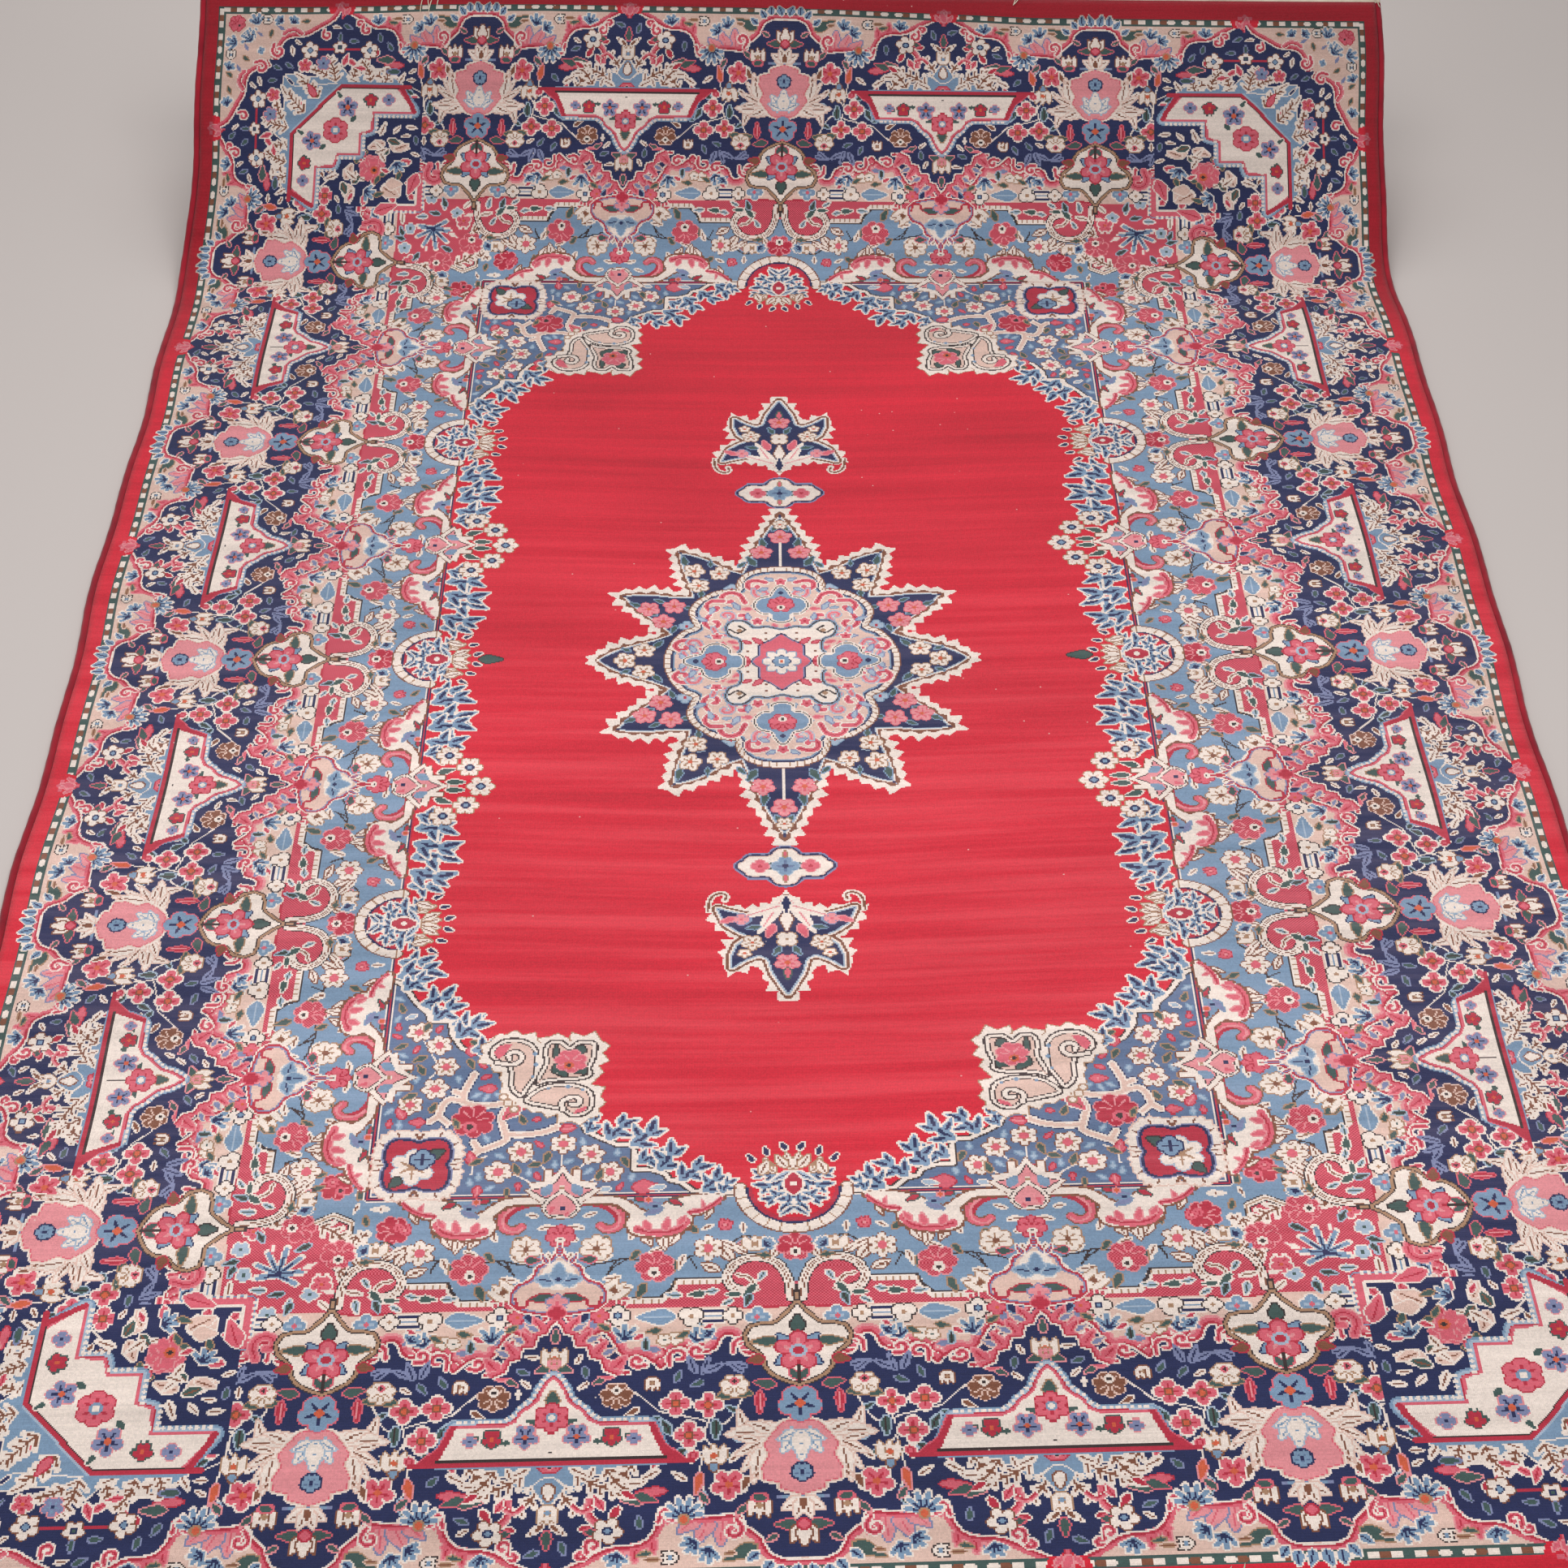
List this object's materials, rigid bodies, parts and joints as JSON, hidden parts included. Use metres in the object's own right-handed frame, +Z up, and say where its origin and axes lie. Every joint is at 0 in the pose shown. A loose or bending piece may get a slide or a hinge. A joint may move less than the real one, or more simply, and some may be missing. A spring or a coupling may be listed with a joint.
{
  "type": "hand-knotted persian rug",
  "caption": "Hand-knotted floor rug with a lobed medallion and flowered borders, overcast sides and fringed ends, its far end swept up onto a slope.",
  "frame": {"origin": "the middle of the rug's box, on the floor that its flat part lies on", "axes": "+X across the rug to the right as seen from the near end, +Y along it from the near end to the lifted far end, +Z up"},
  "size_m": [2.1678, 3.1464, 0.3292],
  "materials": {
    "knotted_wool": "clipped wool pile knotted in red, navy, light blue, ivory and rose, matt with a soft sheen",
    "overcast_wool": "red wool yarn wrapped round the side warps, matt",
    "warp_cotton": "undyed twisted cotton warp ends, matt"
  },
  "bodies": {
    "root": {"rug_cloth": "knotted_wool", "cord_left": "overcast_wool", "cord_right": "overcast_wool", "fringe_near": "warp_cotton", "fringe_far": "warp_cotton"}
  },
  "joints": []
}
